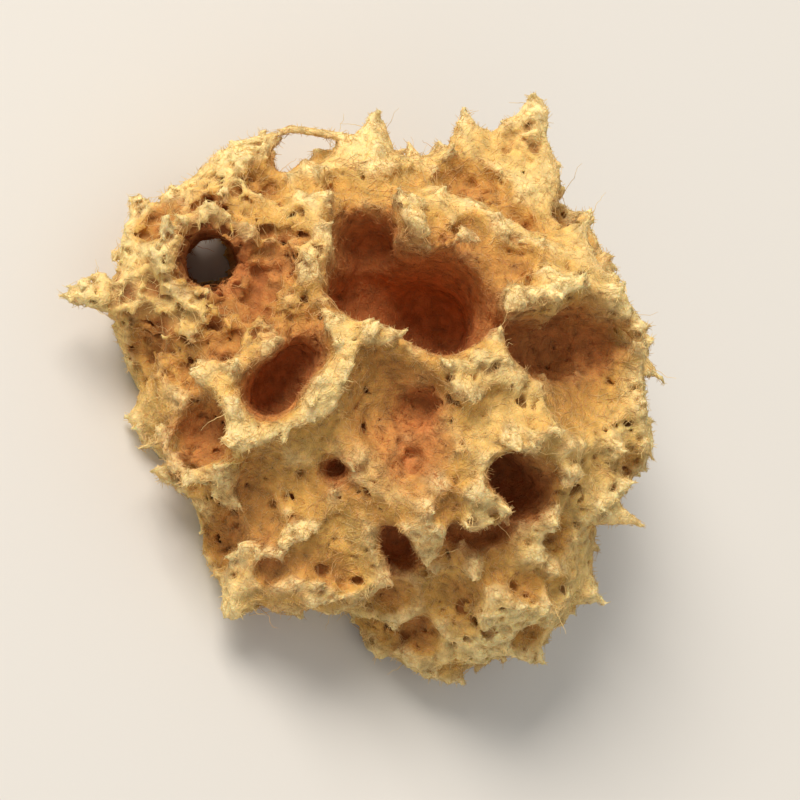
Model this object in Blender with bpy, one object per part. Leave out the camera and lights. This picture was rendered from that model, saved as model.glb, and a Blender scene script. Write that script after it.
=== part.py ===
"""A natural sea sponge: one dried piece, about 45 mm across, cut flat where it grew on the rock.

The base is the cut, at Z = 0. The photographed side faces -Y and up. The mass is a heap of lumps grown into
one skin. Walls and points stand up round its openings, and canals, bowls and dimples are cut out of it.
"""

import math
import random

import bmesh
import bpy
from mathutils import Matrix, Vector, geometry, noise
from mathutils.bvhtree import BVHTree

# Shapes are worked out in millimetres and turned to metres at the end.
MM = 0.001
SEED = 7

# Places on the mass are met by looking at its core from far outside, down to a little below the level.
CORE = Vector((0.0, 1.0, 6.0))
FAR_OUTSIDE = 60.0
LOWEST_DIRECTION = -0.3

# The lumps that the mass grew as: centre, then half sizes.
LUMPS = {
    "middle": ((1.0, 3.0, 7.0), (18.5, 17.0, 14.5)),
    "crest": ((3.5, 8.6, 12.0), (13.0, 9.8, 12.0)),
    "porous lobe": ((-10.5, -10.8, 5.0), (8.0, 7.5, 6.2)),
    "bridge": ((-14.4, -4.6, 6.2), (5.8, 6.3, 6.2)),
    "front": ((-1.0, -12.0, 6.0), (9.0, 7.5, 8.0)),
    "front right": ((9.2, -9.2, 5.0), (7.4, 7.0, 7.5)),
    "left side": ((-11.5, 2.0, 7.0), (5.5, 8.0, 7.5)),
    "back left": ((-8.5, 10.5, 9.0), (6.5, 7.0, 9.0)),
    "right side": ((16.0, 5.0, 6.5), (8.0, 9.0, 8.5)),
    "low knob": ((20.5, 0.5, 3.5), (3.8, 3.8, 4.0)),
    "low knob beside": ((17.4, -3.2, 3.5), (4.2, 3.6, 4.0)),
    "back": ((2.0, 14.0, 8.0), (14.0, 7.0, 10.0)),
}

# Horns that stand out of the outline: root, tip, radius at the root.
HORNS = {
    "left horn": ((-10.0, -14.5, 6.5), (-12.8, -23.0, 5.6), 3.4),
    "arch": ((-15.5, -7.0, 8.0), (-20.2, -5.4, 8.8), 2.6),
    "ear": ((-13.0, 2.8, 10.0), (-19.4, 3.9, 12.2), 3.6),
    "ear side": ((-13.0, 1.0, 9.5), (-18.4, 1.8, 11.2), 3.0),
    "crown near": ((-12.0, 10.6, 13.0), (-17.0, 11.3, 13.4), 2.4),
    "crown far": ((-10.5, 13.6, 14.8), (-17.6, 15.6, 16.6), 2.9),
    "crown wall": ((-10.0, 13.0, 14.0), (-15.6, 13.6, 15.4), 3.6),
    "crown side": ((-8.5, 13.0, 14.0), (-11.2, 16.4, 16.4), 2.4),
    "shoulder": ((-3.5, 11.0, 16.0), (-6.6, 14.3, 19.8), 2.4),
    "back point": ((14.0, 9.5, 14.0), (17.6, 12.9, 16.4), 2.4),
    "side point": ((18.0, 8.0, 10.0), (22.4, 10.9, 11.8), 2.8),
    "side lobe": ((19.5, 3.5, 7.0), (24.6, 4.2, 8.8), 2.8),
    "front foot": ((11.5, -13.5, 4.5), (14.2, -17.6, 4.4), 2.4),
}

# The walls between the openings: the points that each runs through, and its radius.
WALLS = {
    "great opening left": (((-13.5, -4.5, 12.6), (-8.5, -6.4, 15.0), (-3.5, -7.0, 16.4)), 1.2),
    "great opening lip": (((-3.5, -7.0, 16.4), (-1.8, -3.0, 18.6), (0.6, -0.6, 19.8), (2.8, 2, 20.8)), 1.3),
    "front opening right": (((-3.4, -7.2, 16.2), (-0.8, -8.7, 17.0), (1.5, -9.3, 15.8)), 1.1),
    "front opening foot": (((1.5, -9.3, 15.8), (1.8, -12.0, 13.8), (1.5, -16.8, 12.4)), 1.1),
    "right opening top": (((-1.6, 4.4, 22.4), (-0.8, 8.0, 22.8), (1.6, 13.8, 21.2)), 1.2),
    "right side": (((1.6, 13.8, 21.2), (4.8, 14.6, 20.2), (9.1, 15.0, 17.6), (12.1, 14.9, 14.5)), 1.1),
    "ledge": (((10.8, -5.7, 15.2), (12.8, -3.6, 16.0), (13.0, 1.7, 16.6), (13.6, 4.0, 17.2)), 1.1),
    "ring near": (((-8.9, -13.2, 10.6), (-9.8, -15.3, 10.2), (-12.5, -16.3, 10.2), (-14.7, -14.8, 10.6)), 1),
    "ring far": (((-14.7, -14.8, 10.6), (-15.3, -12, 11.2), (-12.9, -9.8, 11.6), (-9.9, -10.8, 11.2)), 1),
    "foot": (((9.6, -15.4, 6.2), (12.2, -13.6, 6.8), (14.2, -10.4, 7.6), (15.0, -7.0, 8.4)), 1.2),
}

# The openings: the mouth's place, the canal's way, its length, and its radius at the mouth and at the end.
STRAIGHT_AWAY = (0.0, 0.524, -0.852)
CANALS = {
    "great osculum near": ((-7.2, -4.4, 18.0), (0.25, 0.45, -0.86), 13.5, 4.2, 3.0),
    "great osculum far": ((-3.6, 0.4, 20.6), (0.10, 0.35, -0.93), 15.5, 4.5, 3.2),
    "great osculum middle": ((-5.3, -2.2, 19.4), (0.20, 0.40, -0.90), 14.5, 4.0, 3.0),
    "great osculum corner": ((-11.4, -2.6, 16.2), (0.45, 0.45, -0.77), 9.0, 3.0, 2.2),
    "high osculum near": ((1.8, 5.4, 22.8), (0.00, 0.15, -0.98), 7.5, 2.8, 2.2),
    "high osculum far": ((2.2, 9.4, 23.4), (0.10, 0.10, -0.98), 9.0, 3.5, 2.6),
    "high osculum lip": ((4.4, 9.4, 22.8), (0.62, 0.74, -0.25), 7.0, 2.9, 2.6),
    "high osculum side": ((3.2, 12.2, 22.6), (0.10, 0.10, -0.98), 6.5, 2.3, 2.0),
    "right osculum upper": ((10.6, 1.4, 19.4), (-0.10, 0.35, -0.93), 9.0, 2.0, 1.8),
    "right osculum lower": ((12.2, 3.2, 18.2), (-0.15, 0.25, -0.95), 9.0, 2.5, 2.0),
    "slit low": ((14.0, -3.0, 15.9), (-0.30, 0.40, -0.86), 4.5, 1.4, 0.9),
    "slit middle": ((14.8, -0.8, 15.8), (-0.30, 0.30, -0.90), 4.5, 1.3, 0.9),
    "slit high": ((15.0, 1.4, 15.9), (-0.35, 0.20, -0.90), 4.5, 1.2, 0.9),
    "front right hole": ((13.2, -7.2, 13.8), (-0.20, 0.50, -0.84), 7.0, 1.7, 1.3),
    "front right hole lower": ((14.9, -6.2, 12.6), (-0.30, 0.50, -0.81), 7.0, 1.7, 1.3),
    "centre pit": ((7.2, -4.8, 17.4), (-0.10, 0.40, -0.90), 3.5, 1.1, 0.8),
    "under the lip": ((3.4, -5.0, 17.0), (0.15, 0.85, -0.50), 4.4, 1.75, 1.6),
    "pinhole": ((6.2, -9.8, 13.2), (-0.10, 0.55, -0.83), 4.5, 1.2, 0.9),
    "front osculum": ((-1.4, -12.8, 13.7), (0.00, 0.55, -0.83), 8.0, 2.6, 2.0),
    "front osculum upper": ((-2.9, -10.7, 15.0), (0.10, 0.45, -0.89), 7.0, 2.0, 1.5),
    "front hollow": ((-0.2, -18.7, 9.8), (0.05, 0.80, -0.60), 5.0, 3.4, 2.6),
    "lobe hole": ((-12.0, -13.2, 11.3), STRAIGHT_AWAY, 14.5, 2.35, 2.1),
    "edge hole": ((-17.4, -3.0, 10.0), STRAIGHT_AWAY, 13.0, 1.3, 1.3),
    "back osculum": ((7.0, 20.0, 12.0), (-0.20, -0.85, -0.48), 9.0, 3.3, 2.3),
    "back osculum left": ((-7.5, 19.5, 8.0), (0.35, -0.92, -0.10), 8.5, 2.8, 2.0),
    "right side osculum": ((23.5, 6.0, 4.8), (-0.96, -0.10, 0.15), 8.0, 2.3, 1.8),
    "left side osculum": ((-19.6, 6.0, 8.6), (0.92, 0.05, -0.25), 7.5, 2.5, 1.8),
}

# Shallow bowls: the centre and radius of the ball that scoops each one.
BOWLS = {
    "trough": ((2.8, -6.2, 19.3), 4.7),
    "trough lower": ((6.8, -5.8, 19.2), 3.9),
    "front scoop": ((6.2, -17.6, 13.2), 4.2),
    "left scoop": ((-17.8, -5.2, 14.6), 3.6),
    "terrace": ((6.2, 9.8, 22.4), 5.0),
    "terrace lower": ((9.2, 10.4, 23.4), 4.2),
    "ledge foot": ((17.0, 0.6, 17.0), 3.5),
    "crown scoop": ((-12.2, 7.8, 16.4), 2.6),
    "crown scoop beside": ((-11.6, 12.4, 19.0), 2.4),
    "right scoop": ((18.6, -2.6, 11.4), 3.0),
    "right pit": ((12.2, 9.4, 19.6), 2.3),
    "back scoop": ((-1.0, 19.6, 18.6), 4.4),
    "back scoop right": ((15.6, 17.0, 8.6), 4.4),
}

# The cut base shows canals' ends: where each is, its radius and its height. They start below the mass.
LOWEST_MASS = -9.0
BASE_CANALS = {
    "wide": ((2.0, 5.0), 2.6, 6.0),
    "beside": ((9.5, -4.0), 2.0, 5.0),
    "left": ((-9.0, 5.5), 1.8, 5.0),
    "front": ((3.0, -11.5), 1.6, 4.0),
    "right": ((14.5, 4.5), 1.7, 4.0),
    "back": ((-2.5, 13.5), 1.9, 5.0),
}

# Walls and canals are rows of balls. A wall's are spaced by a share of its radius.
WALL_STEP = 0.4

# A canal's balls are spaced by a share of its end radius. It narrows inwards and flares at the mouth.
CANAL_STEP = 0.35
CANAL_NARROWING = 0.6
FLARE_OUT = 0.7
FLARE_RADIUS = 1.08

# Dimples lie all over, clear of the mouths and the horns. Each centre stands out by a share of its radius.
DIMPLES = 340
DIMPLE_RADII = (1.2, 2.2)
DIMPLE_STANDS_OUT = (-0.3, 0.25)
DIMPLE_JITTER = 0.05
DIMPLE_CLEAR_OF_MOUTHS = 0.8
DIMPLE_CLEAR_OF_HORNS = 0.4
DIMPLE_CLEAR_OF_WALLS = 0.9

# Points stand round the mouth of each larger canal, and others all over.
SMALLEST_TOOTHED_MOUTH = 1.8
TOOTH_SPACING = 2.6
TOOTH_UNEVENNESS = 0.3
RIM = 1.12
RIM_REACH = 2.2
LEAN_INWARDS = 0.4
POINTS = 110
POINT_CLEAR_OF_MOUTHS = 0.5
POINT_HEIGHTS = (1.0, 2.2)
POINT_RADII = (1.04, 1.69)
POINT_ROOT = 1.2
POINT_LEAN = 0.4
POINT_LIFT = 0.3

HORN_SIDES = 10
HORN_BLUNTNESS = 0.12
HORN_TAPER = 0.6

# The skins' voxel sizes and rounds of softening, the slow noise that bends all, and the triangle count.
LUMP_GRAIN = 0.9
LUMP_ROUNDS = 6
SKIN_GRAIN = 0.45
MASS_ROUNDS = 4
HOLLOW_ROUNDS = 2
LAST_ROUNDS = 1
WARP = 0.9
WARP_SCALE = 6.5
TRIANGLES = 9000

# The block that takes off all below the base.
BLOCK = (90.0, 90.0, 30.0)


def add_ball(mesh, centre, radius, fineness=2):
    """A ball, or an ellipsoid where the radius is three half sizes."""
    half_sizes = radius if isinstance(radius, tuple) else (radius, radius, radius)
    place = Matrix.Translation(centre) @ Matrix.Diagonal((*half_sizes, 1.0))
    bmesh.ops.create_icosphere(mesh, subdivisions=fineness, radius=1.0, matrix=place)


def add_horn(mesh, root, tip, radius):
    """A blunt cone from root to tip."""
    run = Vector(tip) - Vector(root)
    turn = run.to_track_quat("Z", "Y").to_matrix().to_4x4()
    place = Matrix.Translation(Vector(root) + run / 2) @ turn
    bmesh.ops.create_cone(
        mesh,
        cap_ends=True,
        segments=HORN_SIDES,
        radius1=radius,
        radius2=HORN_BLUNTNESS * radius,
        depth=run.length,
        matrix=place,
    )


def add_canal(mesh, mouth, heading, length, mouth_radius, end_radius):
    """A row of balls that narrows inwards, and flares a little where it leaves the mouth."""
    way = Vector(heading).normalized()
    count = max(2, round(length / (CANAL_STEP * end_radius)))
    for i in range(count + 1):
        share = i / count
        radius = mouth_radius + (end_radius - mouth_radius) * share ** CANAL_NARROWING
        add_ball(mesh, Vector(mouth) + way * (length - end_radius) * share, radius)
    add_ball(mesh, Vector(mouth) - way * FLARE_OUT * mouth_radius, FLARE_RADIUS * mouth_radius)


def add_wall(mesh, points, radius):
    """A rounded wall: a row of balls through the points."""
    for start, end in zip(points, points[1:]):
        run = Vector(end) - Vector(start)
        count = round(run.length / (WALL_STEP * radius))
        for i in range(count + 1):
            add_ball(mesh, Vector(start) + run * i / count, radius)


def evaluated(shape):
    """The mesh that an object's modifiers make, as a new bmesh. The object is removed."""
    graph = bpy.context.evaluated_depsgraph_get()
    made = bmesh.new()
    made.from_object(shape, graph)
    bpy.data.objects.remove(shape)
    return made


def as_object(name, mesh):
    """A bmesh as an object in the scene. The bmesh is freed."""
    data = bpy.data.meshes.new(name)
    mesh.to_mesh(data)
    mesh.free()
    shape = bpy.data.objects.new(name, data)
    bpy.context.scene.collection.objects.link(shape)
    return shape


def fused(mesh, grain, rounds):
    """Overlapping closed shapes grown into one skin, with its creases rounded."""
    shape = as_object("growing", mesh)
    skin = shape.modifiers.new("skin", "REMESH")
    skin.mode = "VOXEL"
    skin.voxel_size = grain
    soften = shape.modifiers.new("soften", "SMOOTH")
    soften.factor = 0.5
    soften.iterations = rounds
    return evaluated(shape)


def without(mesh, cutter):
    """The mesh with the cutter's inside taken away."""
    tool = as_object("cutter", cutter)
    shape = as_object("cut", mesh)
    cut = shape.modifiers.new("cut", "BOOLEAN")
    cut.operation = "DIFFERENCE"
    cut.object = tool
    made = evaluated(shape)
    bpy.data.objects.remove(tool)
    return made


def keep_largest(mesh):
    """Removes the crumbs that cutting left free of the main piece."""
    groups = []
    reached = set()
    for start in mesh.verts:
        if start in reached:
            continue
        reached.add(start)
        group = [start]
        for vert in group:
            beside = {edge.other_vert(vert) for edge in vert.link_edges} - reached
            reached |= beside
            group.extend(beside)
        groups.append(group)
    groups.sort(key=len)
    crumbs = [vert for group in groups[:-1] for vert in group]
    bmesh.ops.delete(mesh, geom=crumbs, context="VERTS")


def spread_directions(count):
    """Directions spread evenly over all but the underside, each a golden angle on from the last."""
    for i in range(count):
        height = 1.0 - (1.0 - LOWEST_DIRECTION) * (i + 0.5) / count
        across = math.sqrt(1.0 - height * height)
        angle = i * math.pi * (3.0 - math.sqrt(5.0))
        yield Vector((across * math.cos(angle), across * math.sin(angle), height))


def on_surface(tree, direction):
    """The point and outward normal where a ray from outside, towards the core, meets the mass."""
    point, normal, _, _ = tree.ray_cast(CORE + FAR_OUTSIDE * direction, -direction)
    return point, normal


def near_canal(point, reach):
    """Whether the point is within reach of a canal's mouth."""
    return any(
        (point - Vector(mouth)).length < mouth_radius + reach
        for mouth, _, _, mouth_radius, _ in CANALS.values()
    )


def near_horn(point, reach):
    """Whether the point is within reach of a horn's side."""
    for root, tip, radius in HORNS.values():
        nearest, share = geometry.intersect_point_line(point, Vector(root), Vector(tip))
        if -0.2 < share < 1.3 and (point - nearest).length < radius * (1.0 - HORN_TAPER * share) + reach:
            return True
    return False


def near_wall(point, reach):
    """Whether the point is within reach of a wall's middle line."""
    for points, _ in WALLS.values():
        for start, end in zip(points, points[1:]):
            nearest, share = geometry.intersect_point_line(point, Vector(start), Vector(end))
            if 0.0 < share < 1.0 and (point - nearest).length < reach:
                return True
    return False


def add_point(mesh, point, outward, draw):
    """A small blunt cone that leans a little any way, and rather up than down."""
    sideways = [draw.uniform(-POINT_LEAN, POINT_LEAN) for _ in "xy"]
    lean = Vector((*sideways, draw.uniform(0.0, POINT_LIFT)))
    way = (outward.normalized() + lean).normalized()
    height = draw.uniform(*POINT_HEIGHTS)
    add_horn(mesh, point - way * POINT_ROOT, point + way * height, draw.uniform(*POINT_RADII))


def add_teeth(mesh, tree, draw):
    """Points that stand up round each larger mouth and along the walls, and others spread over the mass."""
    for mouth, heading, _, mouth_radius, _ in CANALS.values():
        if mouth_radius < SMALLEST_TOOTHED_MOUTH:
            continue
        way = Vector(heading).normalized()
        across = way.orthogonal().normalized()
        beside = way.cross(across)
        count = round(math.tau * mouth_radius / TOOTH_SPACING)
        for i in range(count):
            angle = math.tau * (i + draw.uniform(-TOOTH_UNEVENNESS, TOOTH_UNEVENNESS)) / count
            outward = across * math.cos(angle) + beside * math.sin(angle)
            rim = Vector(mouth) + outward * RIM * mouth_radius
            point, normal, _, _ = tree.ray_cast(rim - way * FAR_OUTSIDE, way)
            if point is not None and (point - Vector(mouth)).length < RIM_REACH * mouth_radius:
                add_point(mesh, point, normal - LEAN_INWARDS * way, draw)
    for points, _ in WALLS.values():
        for start, end in zip(points, points[1:]):
            run = Vector(end) - Vector(start)
            count = round(run.length / TOOTH_SPACING)
            for i in range(count):
                point = Vector(start) + run * (i + draw.uniform(0.0, 1.0)) / count
                add_point(mesh, point, point - CORE, draw)
    for direction in spread_directions(POINTS):
        point, normal = on_surface(tree, direction)
        if point is not None and not near_canal(point, POINT_CLEAR_OF_MOUTHS):
            add_point(mesh, point, normal, draw)


def add_dimples(mesh, tree, draw):
    """Small round hollows all over the outside, which leave ridges between them."""
    for direction in spread_directions(DIMPLES):
        jitter = Vector([draw.gauss(0.0, DIMPLE_JITTER) for _ in "xyz"])
        point, normal = on_surface(tree, (direction + jitter).normalized())
        radius = draw.uniform(*DIMPLE_RADII)
        if point is None or near_canal(point, DIMPLE_CLEAR_OF_MOUTHS):
            continue
        if near_horn(point, DIMPLE_CLEAR_OF_HORNS * radius):
            continue
        if near_wall(point, DIMPLE_CLEAR_OF_WALLS * radius):
            continue
        add_ball(mesh, point + normal * radius * draw.uniform(*DIMPLE_STANDS_OUT), radius)


def warp(mesh):
    """Every point moved a little by a smooth noise, so that no hollow stays a perfect ball."""
    for vert in mesh.verts:
        vert.co += WARP * noise.noise_vector(vert.co / WARP_SCALE)


def make_hollows(tree, draw):
    """All that is cut out of the mass, as one skin."""
    mesh = bmesh.new()
    for mouth, heading, length, mouth_radius, end_radius in CANALS.values():
        add_canal(mesh, mouth, heading, length, mouth_radius, end_radius)
    for centre, radius in BOWLS.values():
        add_ball(mesh, centre, radius, fineness=3)
    for (x, y), radius, height in BASE_CANALS.values():
        add_canal(mesh, (x, y, LOWEST_MASS), (0.0, 0.0, 1.0), height - LOWEST_MASS, radius, 0.8 * radius)
    add_dimples(mesh, tree, draw)
    return fused(mesh, SKIN_GRAIN, HOLLOW_ROUNDS)


def make_mass(draw):
    """The solid lumps with their horns and points, and the plain lumps' surface to place things on."""
    mesh = bmesh.new()
    for centre, half_sizes in LUMPS.values():
        add_ball(mesh, centre, half_sizes, fineness=4)
    mesh = fused(mesh, LUMP_GRAIN, LUMP_ROUNDS)
    tree = BVHTree.FromBMesh(mesh)
    for root, tip, radius in HORNS.values():
        add_horn(mesh, root, tip, radius)
    for points, radius in WALLS.values():
        add_wall(mesh, points, radius)
    add_teeth(mesh, tree, draw)
    return fused(mesh, SKIN_GRAIN, MASS_ROUNDS), tree


def thinned(mesh):
    """The same shape with about as many triangles as TRIANGLES."""
    bmesh.ops.triangulate(mesh, faces=mesh.faces)
    share = TRIANGLES / len(mesh.faces)
    shape = as_object("thinning", mesh)
    fewer = shape.modifiers.new("fewer", "DECIMATE")
    fewer.ratio = share
    return evaluated(shape)


def cut_base(mesh):
    """Cuts the underside off flat at Z = 0."""
    block = bmesh.new()
    place = Matrix.Translation((0.0, 0.0, -BLOCK[2] / 2)) @ Matrix.Diagonal((*BLOCK, 1.0))
    bmesh.ops.create_cube(block, size=1.0, matrix=place)
    return without(mesh, block)


def clear_scene():
    for shape in list(bpy.data.objects):
        bpy.data.objects.remove(shape)


def make_material():
    """Dry spongin, a matt golden brown."""
    material = bpy.data.materials.new("spongin")
    material.use_nodes = True
    surface = material.node_tree.nodes["Principled BSDF"]
    surface.inputs["Base Color"].default_value = (0.62, 0.38, 0.13, 1.0)
    surface.inputs["Roughness"].default_value = 0.9
    surface.inputs["Metallic"].default_value = 0.0
    return material


def main():
    clear_scene()
    draw = random.Random(SEED)
    noise.seed_set(SEED)
    mass, tree = make_mass(draw)
    mesh = without(mass, make_hollows(tree, draw))
    mesh = fused(mesh, SKIN_GRAIN, LAST_ROUNDS)
    warp(mesh)
    keep_largest(mesh)
    mesh = cut_base(thinned(mesh))
    keep_largest(mesh)
    bmesh.ops.triangulate(mesh, faces=mesh.faces)
    mesh.transform(Matrix.Scale(MM, 4))
    sponge = as_object("sponge", mesh)
    sponge.data.materials.append(make_material())
    sponge.data.shade_smooth()


main()
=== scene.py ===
"""Looks of a natural sea sponge: a dry golden spongin skeleton, ragged pale rims, dark canals.

The solid gives every large form. The skin is grown over it as a fine volume with pores and
points, and fibres stand and lie on that skin.
"""

import math
import random

import bmesh
import bpy
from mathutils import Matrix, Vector
from mathutils.bvhtree import BVHTree


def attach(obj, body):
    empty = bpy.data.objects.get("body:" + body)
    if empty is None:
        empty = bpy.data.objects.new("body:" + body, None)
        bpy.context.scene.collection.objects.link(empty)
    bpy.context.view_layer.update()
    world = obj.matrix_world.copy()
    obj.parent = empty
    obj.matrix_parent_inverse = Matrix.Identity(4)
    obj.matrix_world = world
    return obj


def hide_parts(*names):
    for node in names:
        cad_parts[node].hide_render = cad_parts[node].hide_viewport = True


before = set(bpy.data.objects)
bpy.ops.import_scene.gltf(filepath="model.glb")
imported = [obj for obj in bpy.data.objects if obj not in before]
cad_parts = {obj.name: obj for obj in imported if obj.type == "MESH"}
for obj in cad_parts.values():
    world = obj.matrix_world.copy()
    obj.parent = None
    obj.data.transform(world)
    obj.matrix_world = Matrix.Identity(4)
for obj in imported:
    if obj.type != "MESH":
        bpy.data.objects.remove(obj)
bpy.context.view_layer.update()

MM = 0.001
SEED = 11

# The camera stands where the photograph's did, in metres from the middle of the base. It is
# turned to the sponge, and the picture is this many metres wide there.
CAMERA_AT = Vector((0.0, -0.1717, 0.2789))
CAMERA_UP = Vector((-0.9397, 0.3402, 0.0337))
CAMERA_AIM = Vector((0.0025, 0.0, 0.0095))
SHOWN_WIDTH = 0.061
SENSOR = 36.0
CLIP_START = 0.01

# Each lamp: name, the way to it from the sponge, its distance and its side in metres, its
# watts and its colour. The key lamp stands at the photograph's upper left.
LAMPS = (
    ("key", (-1.05, -0.4, 1.05), 1.2, 0.58, 15.8, "#fff6ec"),
    ("fill", (0.9, -0.9, 0.9), 1.2, 1.2, 1.2, "#fffaf4"),
)
ROOM_COLOUR = "#f4f2ee"
ROOM_STRENGTH = 0.5
FLOOR_REACH = 1.5

# From here on, lengths are in mm unless a comment says otherwise.

# Corners of the solid that are closer than this, in metres, are one.
MERGE = 1e-6

# Rays that test how open each place is: how many, how far over the surface they start, how
# steeply they leave it at least, and how far they look.
OPEN_RAYS = 40
RAY_START = 0.15
RAY_STEEPNESS = 0.1
OPEN_REACH = 14.0

# Rays that tell inside from outside: their way, a little off the upright so that they miss the
# corners, and how far they look, in metres.
PROBE_WAY = (0.031, 0.017, 1.0)
PROBE_REACH = 1.0

# The skin's volume: its voxels, the room round the solid, how far its density goes on changing
# on each side of the surface, the density at the surface, and the height of the base cut.
VOXEL = 0.31
SKIN_ROOM = 1.5
DENSITY_BAND = 1.25
SURFACE_DENSITY = 0.5
BASE_CUT = 0.03
SKIN_TRIANGLES = 196000

# Each relief: noise cells in a millimetre, and height.
LUMP_SCALE, LUMP_HEIGHT = 0.5, 0.7
GRIT_SCALE, GRIT_HEIGHT = 1.1, 1.8
RAG_SCALE, RAG_HEIGHT = 0.9, 2.9
RELIEF_NOISE = {"Detail": 2.0, "Roughness": 0.6}

# A noise runs about this value, and a crest is where it is this close to it.
NOISE_MIDDLE = 0.5
CREST_WIDTH = 0.08

# The pores: cell size, smallest radius, how much larger they grow, and how deep they reach.
WIDE_PORES = (1.5, 0.08, 0.48, 0.8)
FINE_PORES = (0.85, 0.02, 0.3, 0.5)

# Their cells are moved by a noise: cells in a millimetre, and how far.
WARP_SCALE = 0.8
WARP = (1.2, 1.2, 1.2)

# Below its reach a pore's radius shrinks by this much a mm.
PORE_CLOSING = 1.5

# They are larger on the porous lobe: its middle, its reach, and by how much.
POROUS_LOBE = Vector((-11.0, -12.5, 7.0))
POROUS_REACH = 11.0
POROUS_MORE = 0.27

# They are larger and smaller in patches: noise cells in a millimetre, the noise that changes
# nothing, and by how much.
PATCH_SCALE = 0.16
PATCH_MIDDLE = 0.55
PATCH_HEIGHT = 0.7

# How wide the fillets are where points and pores meet the flesh.
TUFT_FILLET = 0.35
PORE_FILLET = 0.18

# Points on the ridges: how far apart, their lengths, the share of a length that a flat place
# would get, and the radii of root and tip. They grow where it is this ridged and open at least.
TUFT_SPACING = 2.8
TUFT_LENGTHS = (0.3, 1.1)
TUFT_SHARE = 0.6
TUFT_RADII = (0.22, 0.1)
TUFT_RIDGED = 0.16
TUFT_OPENED = 0.35

# How they lean and bend by chance, how deep they are rooted, and how their length is shared.
TUFT_LEAN = 0.28
TUFT_BEND = 0.3
TUFT_DEPTH = 0.3
ROOT_SHARE = 0.35
TIP_SHARE = 0.65

# The strand that closes the notch in the outline: its radius, and the places it runs through.
NOTCH_RADIUS = 0.34
NOTCH_STRAND = ((-19.4, -5.4, 8.8), (-19.6, -1.9, 9.9), (-17.8, 1.7, 11.0))

# No point or fibre starts lower than this over the base, and no fibre dips below the lowest.
CLEAR_OF_BASE = 1.2
LOWEST_FIBRE = 0.04

# Each fibre piece: name, fibres on a square metre, lengths, least and most rise, how far they
# settle on the skin, how many steps each bends in, and seed.
FIBRES = (
    ("fuzz", 3.3e6, (0.15, 0.45), (0.5, 2.5), 0.0, 2, 3),
    ("felt_one", 3.3e6, (0.45, 1.2), (-0.1, 0.4), 0.8, 2, 4),
    ("felt_two", 3.3e6, (0.45, 1.2), (-0.1, 0.4), 0.8, 2, 5),
    ("felt_three", 3.3e6, (0.45, 1.2), (-0.1, 0.4), 0.8, 2, 6),
    ("loose_threads", 4e4, (1.2, 3.0), (0.0, 0.8), 0.15, 7, 7),
)
FIBRE_RADIUS = 0.03
FIBRE_SIDES = 3
FIBRE_TAPER = 0.6

# They bend by a noise: cells in a millimetre, and how far the tip goes.
CURL_SCALE = 0.9
CURL = 1.3

# Slopes with painted shade, darker than their openness gives: the middle, the reach and how
# much, and the share of the reach that is fully shaded.
PAINTED_SHADE_SLOPES = (((8.0, -5.0, 15.5), 7.0, 0.23), ((13.0, -13.0, 8.0), 5.5, 0.2))
PAINTED_SHADE_CORE = 0.4

# The felt's colour with painted shade, by how much light reaches it: from the darkest canal to
# the most open slope.
FELT_SHADE_COLOURS = (
    (0.1, "#c67a44"),
    (0.4, "#c48448"),
    (0.6, "#c8924c"),
    (0.74, "#d4a456"),
    (0.86, "#e4bd72"),
    (0.98, "#f0d694"),
)
# A painted highlight on the ridges.
RIDGE_HIGHLIGHT_COLOUR = "#fae2a6"
# Painted shade deep in pores and hollows.
PORE_SHADE_COLOUR = "#a25e30"
# The fibres' colours, from painted shade to open light.
FIBRE_SHADE_COLOURS = ("#c07c42", "#f4d690")

# Blotches over the light: noise cells in a millimetre, its detail, and how much they change.
FELT_BLOTCHES = (0.22, 3.0, 0.4)
FIBRE_BLOTCHES = (0.7, 2.0, 0.6)

# The flecks of the colour, in noise cells to a millimetre.
FLECK_SCALE = 1.2

# The felt: the meshes of its net, how far its fibres stand out, and how far light goes in.
NET_MESH = 0.3
NET_RISE = 0.08
LIGHT_DEPTH = 1.2

# A measure is mapped to another: two values of the first, and what each of them gives.
OUTDOORS_BY_OPENED = (0.1, 0.6, 0.5, 1.0)
RAGS_BY_RIDGED = (0.1, 0.4, 0.0, RAG_HEIGHT)
PORES_BY_DISTANCE = (0.6 * POROUS_REACH, POROUS_REACH, POROUS_MORE, 0.0)
DENSITY_BY_DEPTH = (-DENSITY_BAND, DENSITY_BAND, 0.0, 1.0)
FIBRES_BY_OPENED = (0.1, 0.6, 0.45, 1.0)
FIBRES_BY_RIDGED = (0.0, 0.35, 0.5, 1.6)
FIBRES_BY_PORE = (0.2, 0.7, 1.0, 0.2)
SHADE_BY_FLECK = (0.32, 0.66, 0.72, 1.1)
HIGHLIGHT_BY_RIDGED = (0.0, 0.36, 0.0, 0.85)
PORE_SHADE_BY_DEPTH = (0.12, 1.1, 0.0, 0.8)
NET_BY_EDGE = (0.0, 0.25, 1.0, 0.0)
FIBRE_TONE_BY_LIGHT = (0.35, 0.95, 0.0, 1.0)


def colour(code):
    """An sRGB hex colour as linear RGBA."""
    parts = [int(code[i : i + 2], 16) / 255 for i in (1, 3, 5)]
    linear = [c / 12.92 if c <= 0.04045 else ((c + 0.055) / 1.055) ** 2.4 for c in parts]
    return (*linear, 1.0)


def add_node(tree, kind, inputs=(), **settings):
    """A node with its settings. Its inputs are set or linked: in their order, or by name."""
    made = tree.nodes.new(kind)
    for name, value in settings.items():
        setattr(made, name, value)
    given = inputs.items() if isinstance(inputs, dict) else enumerate(inputs)
    for key, value in given:
        shown = [socket for socket in made.inputs if socket.enabled]
        socket = shown[key] if isinstance(key, int) else next(s for s in shown if s.name == key)
        if isinstance(value, bpy.types.Node):
            value = next(out for out in value.outputs if out.enabled)
        if isinstance(value, bpy.types.NodeSocket):
            tree.links.new(value, socket)
        else:
            socket.default_value = value
    return made


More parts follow.
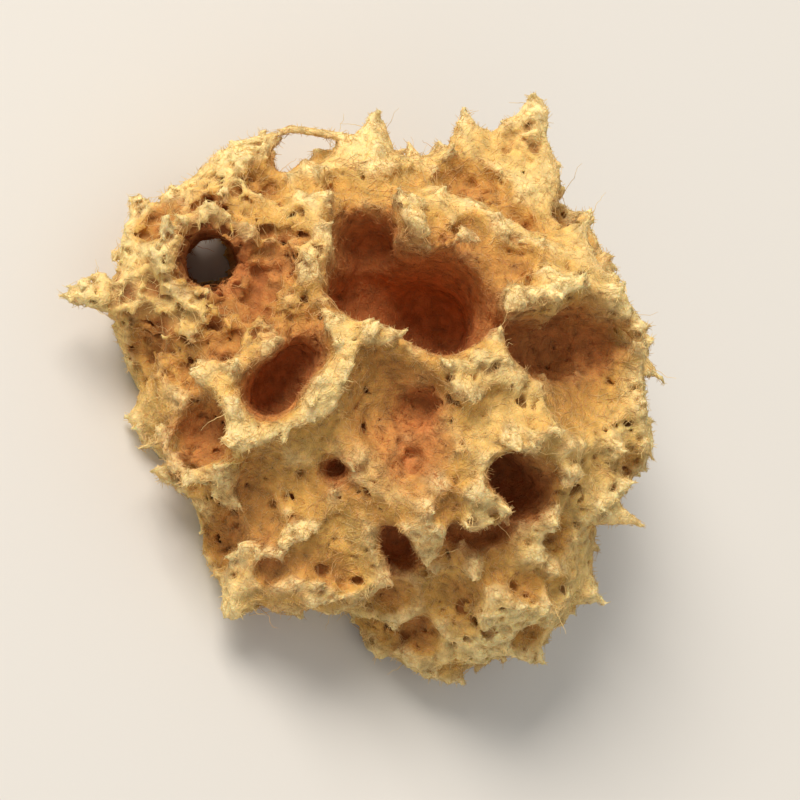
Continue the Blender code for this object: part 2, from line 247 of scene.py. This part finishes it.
def as_object(name, mesh):
    """A bmesh as an object in the scene. The bmesh is freed."""
    data = bpy.data.meshes.new(name)
    mesh.to_mesh(data)
    mesh.free()
    shape = bpy.data.objects.new(name, data)
    bpy.context.scene.collection.objects.link(shape)
    return shape


def new_geometry_tree(name):
    """A Geometry Nodes tree with one geometry in and one out."""
    tree = bpy.data.node_groups.new(name, "GeometryNodeTree")
    for way in ("INPUT", "OUTPUT"):
        tree.interface.new_socket("Geometry", in_out=way, socket_type="NodeSocketGeometry")
    return tree


def made_by(shape, tree, name):
    """A new mesh object: what the tree makes of the shape."""
    modifier = shape.modifiers.new(name, "NODES")
    modifier.node_group = tree
    graph = bpy.context.evaluated_depsgraph_get()
    data = bpy.data.meshes.new_from_object(shape.evaluated_get(graph))
    shape.modifiers.remove(modifier)
    data.name = name
    made = bpy.data.objects.new(name, data)
    bpy.context.scene.collection.objects.link(made)
    return made


# The core: the solid's own shape, measured for openness and ridges.


def spread_directions(count):
    """Directions spread evenly all round, each a golden angle on from the last."""
    for i in range(count):
        height = 1.0 - 2.0 * (i + 0.5) / count
        across = math.sqrt(1.0 - height * height)
        angle = i * math.pi * (3.0 - math.sqrt(5.0))
        yield Vector((across * math.cos(angle), across * math.sin(angle), height))


def blur(mesh, layer):
    """Each value becomes the mean of itself and those beside it."""
    means = [
        (sum(edge.other_vert(vert)[layer] for edge in vert.link_edges) + vert[layer])
        / (len(vert.link_edges) + 1)
        for vert in mesh.verts
    ]
    for vert, mean in zip(mesh.verts, means):
        vert[layer] = mean


def measured_core():
    """A merged copy of the solid, with how open and how ridged each corner is."""
    mesh = bmesh.new()
    mesh.from_mesh(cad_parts["sponge"].data)
    bmesh.ops.remove_doubles(mesh, verts=mesh.verts, dist=MERGE)
    mesh.normal_update()
    tree = BVHTree.FromBMesh(mesh)
    opened = mesh.verts.layers.float.new("opened")
    ridged = mesh.verts.layers.float.new("ridged")
    looks = list(spread_directions(OPEN_RAYS))
    for vert in mesh.verts:
        start = vert.co + vert.normal * RAY_START * MM
        ahead = [look for look in looks if look.dot(vert.normal) > RAY_STEEPNESS]
        clear = sum(tree.ray_cast(start, look, OPEN_REACH * MM)[0] is None for look in ahead)
        vert[opened] = clear / max(1, len(ahead))
        slopes = [
            vert.normal.dot((vert.co - edge.other_vert(vert).co).normalized())
            for edge in vert.link_edges
        ]
        vert[ridged] = sum(slopes) / len(slopes)
    blur(mesh, opened)
    return mesh


def tuft_places(mesh):
    """The corners that points grow on: the most ridged first, and no two close together."""
    ridged = mesh.verts.layers.float["ridged"]
    opened = mesh.verts.layers.float["opened"]
    chosen = []
    for vert in sorted(mesh.verts, key=lambda vert: (-vert[ridged], vert.index)):
        if vert[ridged] < TUFT_RIDGED or vert[opened] < TUFT_OPENED:
            continue
        if vert.co.z < CLEAR_OF_BASE * MM:
            continue
        if all((vert.co - other.co).length > TUFT_SPACING * MM for other in chosen):
            chosen.append(vert)
    return chosen


def grow_tufts(mesh, draw):
    """Lines that run out of the ridges, and the notch's strand.

    The lines are short thick roots, and the thin tips beyond them.
    """
    ridged = mesh.verts.layers.float["ridged"]
    roots, tips, strand = bmesh.new(), bmesh.new(), bmesh.new()
    for vert in tuft_places(mesh):
        lean = Vector([draw.gauss(0.0, TUFT_LEAN) for _ in "xyz"])
        way = (vert.normal + lean).normalized()
        bend = (way + Vector([draw.gauss(0.0, TUFT_BEND) for _ in "xyz"])).normalized()
        length = draw.uniform(*TUFT_LENGTHS) * (TUFT_SHARE + vert[ridged]) * MM
        middle = vert.co + way * ROOT_SHARE * length
        end = middle + bend * TIP_SHARE * length
        start = vert.co - way * TUFT_DEPTH * MM
        roots.edges.new((roots.verts.new(start), roots.verts.new(middle)))
        tips.edges.new((tips.verts.new(middle), tips.verts.new(end)))
    run = [strand.verts.new(Vector(place) * MM) for place in NOTCH_STRAND]
    for start, end in zip(run, run[1:]):
        strand.edges.new((start, end))
    lines = {"tuft_roots": roots, "tuft_tips": tips, "notch_strand": strand}
    return [as_object(name, line) for name, line in lines.items()]


# The skin: a fine volume grown from the core.


def depth_under(tree, core):
    """How deep a place lies under the core's surface, in mm. It is below 0 outside the core."""
    near = add_node(tree, "GeometryNodeProximity", [core], target_element="FACES")
    ray = add_node(
        tree,
        "GeometryNodeRaycast",
        {"Target Geometry": core, "Ray Direction": PROBE_WAY, "Ray Length": PROBE_REACH},
    )

    # A ray that leaves through a face starts inside.
    along = add_node(
        tree,
        "ShaderNodeVectorMath",
        (ray.outputs["Hit Normal"], PROBE_WAY),
        operation="DOT_PRODUCT",
    )
    leaving = add_node(
        tree, "ShaderNodeMath", (along.outputs["Value"], 0.0), operation="GREATER_THAN"
    )
    inside = add_node(
        tree, "ShaderNodeMath", (leaving, ray.outputs["Is Hit"]), operation="MULTIPLY"
    )

    # Inside is 1 and outside 0. They become plus and minus, with metres turned to mm.
    side = add_node(
        tree, "ShaderNodeMath", (inside, 2.0 / MM, -1.0 / MM), operation="MULTIPLY_ADD"
    )
    return add_node(
        tree, "ShaderNodeMath", (near.outputs["Distance"], side), operation="MULTIPLY"
    )


def nearest_measure(tree, core, name):
    """The core's measure of that name, where its surface is nearest."""
    value = add_node(
        tree, "GeometryNodeInputNamedAttribute", {"Name": name}, data_type="FLOAT"
    )
    return add_node(
        tree, "GeometryNodeSampleNearestSurface", {"Mesh": core, "Value": value}
    )


def crests(tree, noise, height):
    """Sharp crests where the noise is at its middle, and rounded hollows between them."""
    apart = add_node(tree, "ShaderNodeMath", (noise, NOISE_MIDDLE), operation="SUBTRACT")
    off = add_node(tree, "ShaderNodeMath", [apart], operation="ABSOLUTE")
    crest = add_node(tree, "ShaderNodeMath", (CREST_WIDTH, off), operation="SUBTRACT")
    return add_node(tree, "ShaderNodeMath", (crest, height), operation="MULTIPLY")


def roughened(tree, place_mm, depth, outdoors, ridged):
    """The depth with lumps and grit on it, and torn ridges."""
    lumps, grit, rags = (
        add_node(tree, "ShaderNodeTexNoise", {"Vector": place_mm, "Scale": scale, **RELIEF_NOISE})
        for scale in (LUMP_SCALE, GRIT_SCALE, RAG_SCALE)
    )
    lump = add_node(tree, "ShaderNodeMath", (lumps, NOISE_MIDDLE), operation="SUBTRACT")
    lump = add_node(tree, "ShaderNodeMath", (lump, LUMP_HEIGHT), operation="MULTIPLY")
    grain = crests(tree, grit, GRIT_HEIGHT)
    relief = add_node(tree, "ShaderNodeMath", (lump, grain), operation="ADD")
    relief = add_node(tree, "ShaderNodeMath", (relief, outdoors), operation="MULTIPLY")
    flesh = add_node(tree, "ShaderNodeMath", (depth, relief), operation="ADD")

    # A coarser noise lifts and breaks the ridges.
    torn = add_node(
        tree,
        "ShaderNodeMapRange",
        (ridged, *RAGS_BY_RIDGED),
        interpolation_type="SMOOTHSTEP",
    )
    return add_node(tree, "ShaderNodeMath", (flesh, crests(tree, rags, torn)), operation="ADD")


def with_tufts(tree, flesh, spines):
    """The flesh with the tufts and the notch's strand welded on by a soft fillet."""
    for shape, radius in zip(spines, (*TUFT_RADII, NOTCH_RADIUS)):
        seen = add_node(tree, "GeometryNodeObjectInfo", {"Object": shape})
        near = add_node(
            tree, "GeometryNodeProximity", [seen.outputs["Geometry"]], target_element="EDGES"
        )
        apart = add_node(
            tree, "ShaderNodeMath", (near.outputs["Distance"], 1.0 / MM), operation="MULTIPLY"
        )
        spine = add_node(tree, "ShaderNodeMath", (radius, apart), operation="SUBTRACT")
        flesh = add_node(
            tree, "ShaderNodeMath", (flesh, spine, TUFT_FILLET), operation="SMOOTH_MAX"
        )
    return flesh


def with_pores(tree, place_mm, flesh, depth, outdoors):
    """The flesh less its pores: cells of a warped foam.

    They are larger on the porous lobe, smaller in the canals, and gone further in.
    """
    wander = add_node(
        tree, "ShaderNodeTexNoise", {"Vector": place_mm, "Scale": WARP_SCALE, "Detail": 1.0}
    )
    moved = add_node(
        tree,
        "ShaderNodeVectorMath",
        (wander.outputs["Color"], WARP, place_mm),
        operation="MULTIPLY_ADD",
    )
    to_lobe = add_node(
        tree, "ShaderNodeVectorMath", (place_mm, POROUS_LOBE), operation="DISTANCE"
    )
    lobe = add_node(
        tree,
        "ShaderNodeMapRange",
        (to_lobe.outputs["Value"], *PORES_BY_DISTANCE),
        interpolation_type="SMOOTHSTEP",
    )
    patches = add_node(
        tree, "ShaderNodeTexNoise", {"Vector": place_mm, "Scale": PATCH_SCALE, "Detail": 1.0}
    )
    patch = add_node(tree, "ShaderNodeMath", (patches, PATCH_MIDDLE), operation="SUBTRACT")
    patch = add_node(tree, "ShaderNodeMath", (patch, PATCH_HEIGHT), operation="MULTIPLY")
    more = add_node(tree, "ShaderNodeMath", (lobe, patch), operation="ADD")
    for cell, smallest, growth, reach in (WIDE_PORES, FINE_PORES):
        foam = add_node(
            tree, "ShaderNodeTexVoronoi", {"Vector": moved, "Scale": 1.0 / cell}, feature="F1"
        )
        apart = add_node(
            tree, "ShaderNodeMath", (foam.outputs["Distance"], cell), operation="MULTIPLY"
        )
        chance = add_node(tree, "ShaderNodeSeparateXYZ", [foam.outputs["Color"]])
        size = add_node(
            tree, "ShaderNodeMath", (chance, growth, smallest), operation="MULTIPLY_ADD"
        )
        size = add_node(tree, "ShaderNodeMath", (size, outdoors), operation="MULTIPLY")
        size = add_node(tree, "ShaderNodeMath", (size, more), operation="ADD")
        sunk = add_node(tree, "ShaderNodeMath", (depth, reach), operation="SUBTRACT")
        sunk = add_node(tree, "ShaderNodeMath", (sunk, 0.0), operation="MAXIMUM")
        less = add_node(tree, "ShaderNodeMath", (sunk, PORE_CLOSING), operation="MULTIPLY")
        size = add_node(tree, "ShaderNodeMath", (size, less), operation="SUBTRACT")
        wall = add_node(tree, "ShaderNodeMath", (apart, size), operation="SUBTRACT")
        flesh = add_node(
            tree, "ShaderNodeMath", (flesh, wall, PORE_FILLET), operation="SMOOTH_MIN"
        )
    return flesh


def skin_tree(low, high, spines):
    """Pores, grit and tufts on the core, meshed from a volume, with the measures that colour it."""
    tree = new_geometry_tree("skin")
    core = add_node(tree, "NodeGroupInput").outputs[0]
    place = add_node(tree, "GeometryNodeInputPosition")
    place_mm = add_node(tree, "ShaderNodeVectorMath", (place, 1.0 / MM), operation="SCALE")
    depth = depth_under(tree, core)
    opened = nearest_measure(tree, core, "opened")
    ridged = nearest_measure(tree, core, "ridged")
    outdoors = add_node(
        tree,
        "ShaderNodeMapRange",
        (opened, *OUTDOORS_BY_OPENED),
        interpolation_type="SMOOTHSTEP",
    )
    flesh = roughened(tree, place_mm, depth, outdoors, ridged)
    flesh = with_tufts(tree, flesh, spines)
    porous = with_pores(tree, place_mm, flesh, depth, outdoors)

    # The base is a flat cut.
    height = add_node(tree, "ShaderNodeSeparateXYZ", [place_mm]).outputs["Z"]
    above = add_node(tree, "ShaderNodeMath", (height, BASE_CUT), operation="SUBTRACT")
    body = add_node(tree, "ShaderNodeMath", (porous, above), operation="MINIMUM")

    thick = add_node(tree, "ShaderNodeMapRange", (body, *DENSITY_BY_DEPTH))
    counts = {
        "Resolution " + axis: round((high[i] - low[i]) / (VOXEL * MM))
        for i, axis in enumerate("XYZ")
    }
    volume = add_node(
        tree, "GeometryNodeVolumeCube", {"Density": thick, "Min": low, "Max": high, **counts}
    )
    skin = add_node(
        tree, "GeometryNodeVolumeToMesh", {"Volume": volume, "Threshold": SURFACE_DENSITY}
    )
    for name, value in {"opened": opened, "ridged": ridged, "in_pore": flesh}.items():
        skin = add_node(
            tree,
            "GeometryNodeStoreNamedAttribute",
            {"Geometry": skin, "Name": name, "Value": value},
            data_type="FLOAT",
        )
    add_node(tree, "NodeGroupOutput", [skin])
    return tree


def keep_largest(mesh):
    """Removes the crumbs and bubbles that aren't part of the main skin."""
    groups = []
    reached = set()
    for start in mesh.verts:
        if start in reached:
            continue
        reached.add(start)
        group = [start]
        for vert in group:
            beside = {edge.other_vert(vert) for edge in vert.link_edges} - reached
            reached |= beside
            group.extend(beside)
        groups.append(group)
    groups.sort(key=len)
    crumbs = [vert for group in groups[:-1] for vert in group]
    bmesh.ops.delete(mesh, geom=crumbs, context="VERTS")


def make_skin(core, draw):
    """The whole sponge's outside, as one closed skin."""
    spines = grow_tufts(core, draw)
    room = SKIN_ROOM * MM
    low = Vector([min(vert.co[i] for vert in core.verts) - room for i in range(3)])
    high = Vector([max(vert.co[i] for vert in core.verts) + room for i in range(3)])
    shape = as_object("core", core)
    skin = made_by(shape, skin_tree(low, high, spines), "sponge_skin")
    for helper in (shape, *spines):
        bpy.data.objects.remove(helper)
    mesh = bmesh.new()
    mesh.from_mesh(skin.data)
    keep_largest(mesh)
    bmesh.ops.triangulate(mesh, faces=mesh.faces)
    count = len(mesh.faces)
    mesh.to_mesh(skin.data)
    mesh.free()
    if count > SKIN_TRIANGLES:
        fewer = skin.modifiers.new("fewer", "DECIMATE")
        fewer.ratio = SKIN_TRIANGLES / count
        graph = bpy.context.evaluated_depsgraph_get()
        thinned = bpy.data.meshes.new_from_object(skin.evaluated_get(graph))
        skin.modifiers.remove(fewer)
        skin.data = thinned
    skin.data.shade_smooth()
    return skin


# Fibres: short curved strands that stand on the skin or lie along it.


def fibre_density(tree, place, most):
    """How many fibres start on a place: more where light reaches, none under the base."""
    opened, ridged, in_pore = (
        add_node(tree, "GeometryNodeInputNamedAttribute", {"Name": name}, data_type="FLOAT")
        for name in ("opened", "ridged", "in_pore")
    )
    open_part = add_node(tree, "ShaderNodeMapRange", (opened, *FIBRES_BY_OPENED))
    crest = add_node(tree, "ShaderNodeMapRange", (ridged, *FIBRES_BY_RIDGED))
    outer = add_node(tree, "ShaderNodeMapRange", (in_pore, *FIBRES_BY_PORE))
    height = add_node(tree, "ShaderNodeSeparateXYZ", [place]).outputs["Z"]
    aloft = add_node(
        tree, "ShaderNodeMath", (height, CLEAR_OF_BASE * MM), operation="GREATER_THAN"
    )
    often = add_node(tree, "ShaderNodeMath", (open_part, crest), operation="MULTIPLY")
    shown = add_node(tree, "ShaderNodeMath", (outer, aloft), operation="MULTIPLY")
    often = add_node(tree, "ShaderNodeMath", (often, shown), operation="MULTIPLY")
    return add_node(tree, "ShaderNodeMath", (often, most), operation="MULTIPLY")


def fibre_tree(most, lengths, upright, settling, steps, seed, material):
    """Curved three-sided strands spread over the skin, with their instances realized."""
    tree = new_geometry_tree("fibres")
    skin = add_node(tree, "NodeGroupInput").outputs[0]
    place = add_node(tree, "GeometryNodeInputPosition")
    points = add_node(
        tree,
        "GeometryNodeDistributePointsOnFaces",
        {"Mesh": skin, "Density": fibre_density(tree, place, most), "Seed": seed},
        distribute_method="RANDOM",
    )

    # Each strand leans between the skin's normal and a random way along it.
    normal = points.outputs["Normal"]
    anyway = add_node(
        tree,
        "FunctionNodeRandomValue",
        {"Min": (-1.0, -1.0, -1.0), "Max": (1.0, 1.0, 1.0), "Seed": seed * 10 + 1},
        data_type="FLOAT_VECTOR",
    )
    lean, length = (
        add_node(
            tree,
            "FunctionNodeRandomValue",
            {"Min": least, "Max": greatest, "Seed": seed * 10 + shift},
            data_type="FLOAT",
        )
        for least, greatest, shift in ((*upright, 2), (lengths[0] * MM, lengths[1] * MM, 3))
    )
    anyway = add_node(tree, "ShaderNodeVectorMath", [anyway], operation="NORMALIZE")
    along = add_node(tree, "ShaderNodeVectorMath", (normal, anyway), operation="CROSS_PRODUCT")
    along = add_node(tree, "ShaderNodeVectorMath", [along], operation="NORMALIZE")
    raised = add_node(tree, "ShaderNodeVectorMath", (normal, lean), operation="SCALE")
    way = add_node(tree, "ShaderNodeVectorMath", (along, raised), operation="ADD")
    turned = add_node(tree, "FunctionNodeAlignRotationToVector", {"Vector": way}, axis="Z")
    line = add_node(
        tree, "GeometryNodeCurvePrimitiveLine", {"Start": (0.0, 0.0, 0.0), "End": (0.0, 0.0, 1.0)}
    )
    line = add_node(tree, "GeometryNodeResampleCurve", {"Curve": line, "Count": steps + 1})
    placed = add_node(
        tree,
        "GeometryNodeInstanceOnPoints",
        {"Points": points, "Instance": line, "Rotation": turned, "Scale": length},
    )
    strands = add_node(tree, "GeometryNodeRealizeInstances", [placed])

    # They bend by a fine noise, more towards the tip.
    part = add_node(tree, "GeometryNodeSplineParameter").outputs["Factor"]
    place_mm = add_node(tree, "ShaderNodeVectorMath", (place, 1.0 / MM), operation="SCALE")
    curl = add_node(
        tree, "ShaderNodeTexNoise", {"Vector": place_mm, "Scale": CURL_SCALE, "Detail": 1.0}
    )
    curl = add_node(
        tree,
        "ShaderNodeVectorMath",
        (curl.outputs["Color"], [NOISE_MIDDLE] * 3),
        operation="SUBTRACT",
    )
    bend = add_node(tree, "ShaderNodeMath", (part, CURL * MM), operation="MULTIPLY")
    curl = add_node(tree, "ShaderNodeVectorMath", (curl, bend), operation="SCALE")
    strands = add_node(tree, "GeometryNodeSetPosition", {"Geometry": strands, "Offset": curl})

    # Lying strands are drawn down on the skin, and none goes below the base. A least x and y of
    # a metre below 0 leaves them free sideways.
    nearest = add_node(tree, "GeometryNodeProximity", [skin], target_element="FACES")
    settled = add_node(
        tree,
        "ShaderNodeMix",
        (settling, place, nearest.outputs["Position"]),
        data_type="VECTOR",
    )
    lifted = add_node(
        tree,
        "ShaderNodeVectorMath",
        (settled, (-1.0, -1.0, LOWEST_FIBRE * MM)),
        operation="MAXIMUM",
    )
    strands = add_node(
        tree, "GeometryNodeSetPosition", {"Geometry": strands, "Position": lifted}
    )

    # They taper to the tip.
    taper = add_node(
        tree, "ShaderNodeMath", (part, -FIBRE_TAPER, 1.0), operation="MULTIPLY_ADD"
    )
    ring = add_node(
        tree,
        "GeometryNodeCurvePrimitiveCircle",
        {"Resolution": FIBRE_SIDES, "Radius": FIBRE_RADIUS * MM},
    )
    tubes = add_node(
        tree,
        "GeometryNodeCurveToMesh",
        {"Curve": strands, "Profile Curve": ring, "Scale": taper, "Fill Caps": True},
    )
    tubes = add_node(tree, "GeometryNodeSetShadeSmooth", {"Geometry": tubes})
    tubes = add_node(
        tree, "GeometryNodeSetMaterial", {"Geometry": tubes, "Material": material}
    )
    add_node(tree, "NodeGroupOutput", [tubes])
    return tree


# Camera, light and floor.


def make_camera():
    """The camera, at the photograph's angle."""
    lens = bpy.data.cameras.new("camera")
    camera = bpy.data.objects.new("camera", lens)
    bpy.context.scene.collection.objects.link(camera)
    back = (CAMERA_AT - CAMERA_AIM).normalized()
    right = CAMERA_UP.cross(back).normalized()
    up = back.cross(right)
    turn = camera.matrix_world.copy()
    for i, axis in enumerate((right, up, back)):
        for j in range(3):
            turn[j][i] = axis[j]
    turn.translation = CAMERA_AT
    camera.matrix_world = turn
    lens.sensor_width = SENSOR
    lens.lens = SENSOR * (CAMERA_AT - CAMERA_AIM).length / SHOWN_WIDTH
    lens.clip_start = CLIP_START
    bpy.context.scene.camera = camera


def add_lamp(name, towards, distance, size, power, tint):
    """A soft square lamp that faces the sponge."""
    lamp = bpy.data.lights.new(name, "AREA")
    lamp.size = size
    lamp.energy = power
    lamp.color = colour(tint)[:3]
    shape = bpy.data.objects.new(name, lamp)
    bpy.context.scene.collection.objects.link(shape)
    way = Vector(towards).normalized()
    shape.location = way * distance
    shape.rotation_euler = way.to_track_quat("Z", "Y").to_euler()


def make_light():
    """Soft studio light with a weak fill and a pale room."""
    for lamp in LAMPS:
        add_lamp(*lamp)
    world = bpy.data.worlds.new("room")
    world.use_nodes = True
    room = world.node_tree.nodes["Background"]
    room.inputs["Color"].default_value = colour(ROOM_COLOUR)
    room.inputs["Strength"].default_value = ROOM_STRENGTH
    bpy.context.scene.world = world
    bpy.context.scene.view_settings.view_transform = "Standard"


def make_floor():
    """A wide matt floor under the sponge."""
    mesh = bmesh.new()
    bmesh.ops.create_grid(mesh, size=FLOOR_REACH)
    floor = as_object("floor", mesh)
    material = bpy.data.materials.new("pale floor")
    material.use_nodes = True
    surface = material.node_tree.nodes["Principled BSDF"]
    surface.inputs["Base Color"].default_value = colour("#dddbd6")
    surface.inputs["Roughness"].default_value = 0.8
    floor.data.materials.append(material)


# Materials.


def mottled(tree, place, paint):
    """The colour, darker and lighter in flecks where the felt is thinner and thicker."""
    fleck = add_node(
        tree, "ShaderNodeTexNoise", {"Vector": place, "Scale": FLECK_SCALE / MM, "Detail": 3.0}
    )
    share = add_node(tree, "ShaderNodeMapRange", (fleck, *SHADE_BY_FLECK))
    return add_node(tree, "ShaderNodeVectorMath", (paint, share), operation="SCALE")


def with_painted_slope_shade(tree, place, lit):
    """The measure of light, lowered by painted shade on some slopes."""
    for centre, reach, much in PAINTED_SHADE_SLOPES:
        apart = add_node(
            tree, "ShaderNodeVectorMath", (place, Vector(centre) * MM), operation="DISTANCE"
        )
        less = add_node(
            tree,
            "ShaderNodeMapRange",
            (apart.outputs["Value"], PAINTED_SHADE_CORE * reach * MM, reach * MM, much, 0.0),
            interpolation_type="SMOOTHSTEP",
        )
        lit = add_node(tree, "ShaderNodeMath", (lit, less), operation="SUBTRACT")
    return lit


def light_on(tree, place, opened, scale, detail, much):
    """How much light reaches a place, with soft blotches over it and painted shade on some slopes.
    """
    blotch = add_node(
        tree, "ShaderNodeTexNoise", {"Vector": place, "Scale": scale / MM, "Detail": detail}
    )
    more = add_node(
        tree,
        "ShaderNodeMath",
        (blotch, much, -NOISE_MIDDLE * much),
        operation="MULTIPLY_ADD",
    )
    lit = add_node(tree, "ShaderNodeMath", (opened, more), operation="ADD")
    return with_painted_slope_shade(tree, place, lit)


def make_spongin():
    """Dried spongin, a horny protein in a felt of fine fibres: matt, warm, a bit see-through.

    Rims that stand in the light get a painted highlight, open slopes are golden, and canals and
    pores get painted red-brown shade.
    """
    material = bpy.data.materials.new("spongin felt")
    material.use_nodes = True
    tree = material.node_tree
    surface = tree.nodes["Principled BSDF"]
    place = add_node(tree, "ShaderNodeTexCoord").outputs["Object"]
    opened, ridged, in_pore = (
        add_node(tree, "ShaderNodeAttribute", attribute_name=name).outputs["Fac"]
        for name in ("opened", "ridged", "in_pore")
    )

    # How much light reaches a place decides its colour.
    lit = light_on(tree, place, opened, *FELT_BLOTCHES)
    tone = add_node(tree, "ShaderNodeValToRGB", [lit])
    ramp = tone.color_ramp
    while len(ramp.elements) < len(FELT_SHADE_COLOURS):
        ramp.elements.new(0.5)
    for stop, (at, code) in zip(ramp.elements, FELT_SHADE_COLOURS):
        stop.position = at
        stop.color = colour(code)

    # Ridges get a painted highlight, paler where they stand out in the open.
    pale = add_node(
        tree,
        "ShaderNodeMapRange",
        (ridged, *HIGHLIGHT_BY_RIDGED),
        interpolation_type="SMOOTHSTEP",
    )
    pale = add_node(tree, "ShaderNodeMath", (pale, opened), operation="MULTIPLY")
    paint = add_node(tree, "ShaderNodeMix", (pale, tone, colour(RIDGE_HIGHLIGHT_COLOUR)), data_type="RGBA")

    # Pores and the hollows of the grit get painted red-brown shade, darker the deeper they reach
    # into the flesh.
    dark = add_node(
        tree,
        "ShaderNodeMapRange",
        (in_pore, *PORE_SHADE_BY_DEPTH),
        interpolation_type="SMOOTHSTEP",
    )
    paint = add_node(tree, "ShaderNodeMix", (dark, paint, colour(PORE_SHADE_COLOUR)), data_type="RGBA")
    tree.links.new(mottled(tree, place, paint).outputs[0], surface.inputs["Base Color"])

    # The felt is a net of fibres.
    net = add_node(
        tree,
        "ShaderNodeTexVoronoi",
        {"Vector": place, "Scale": 1.0 / (NET_MESH * MM)},
        feature="DISTANCE_TO_EDGE",
    )
    strand = add_node(tree, "ShaderNodeMapRange", (net.outputs["Distance"], *NET_BY_EDGE))
    bump = add_node(
        tree,
        "ShaderNodeBump",
        {"Strength": 0.5, "Distance": NET_RISE * MM, "Height": strand},
    )
    tree.links.new(bump.outputs[0], surface.inputs["Normal"])
    surface.inputs["Roughness"].default_value = 0.88
    surface.inputs["Specular IOR Level"].default_value = 0.25
    surface.inputs["Subsurface Weight"].default_value = 0.3
    surface.inputs["Subsurface Radius"].default_value = (1.0, 0.45, 0.18)
    surface.inputs["Subsurface Scale"].default_value = LIGHT_DEPTH * MM
    return material


def make_strand():
    """Single spongin fibres, thin and horny: paler than the felt, with a silky gloss."""
    material = bpy.data.materials.new("spongin fibre")
    material.use_nodes = True
    tree = material.node_tree
    surface = tree.nodes["Principled BSDF"]
    place = add_node(tree, "ShaderNodeTexCoord").outputs["Object"]
    opened = add_node(tree, "ShaderNodeAttribute", attribute_name="opened").outputs["Fac"]
    # The fibres' colour has painted shade: darker where less light reaches.
    lit = light_on(tree, place, opened, *FIBRE_BLOTCHES)
    tone = add_node(tree, "ShaderNodeMapRange", (lit, *FIBRE_TONE_BY_LIGHT))
    darkest, palest = FIBRE_SHADE_COLOURS
    paint = add_node(
        tree, "ShaderNodeMix", (tone, colour(darkest), colour(palest)), data_type="RGBA"
    )
    tree.links.new(mottled(tree, place, paint).outputs[0], surface.inputs["Base Color"])
    surface.inputs["Roughness"].default_value = 0.6
    surface.inputs["Specular IOR Level"].default_value = 0.4
    return material


def main():
    """The camera, lamps and floor, then the skin, then the fibres on it."""
    draw = random.Random(SEED)
    make_camera()
    make_light()
    make_floor()
    skin = make_skin(measured_core(), draw)
    skin.data.materials.clear()
    skin.data.materials.append(make_spongin())
    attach(skin, "root")
    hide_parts("sponge")
    strand = make_strand()
    for name, *ways in FIBRES:
        piece = made_by(skin, fibre_tree(*ways, strand), name)
        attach(piece, "root")


main()
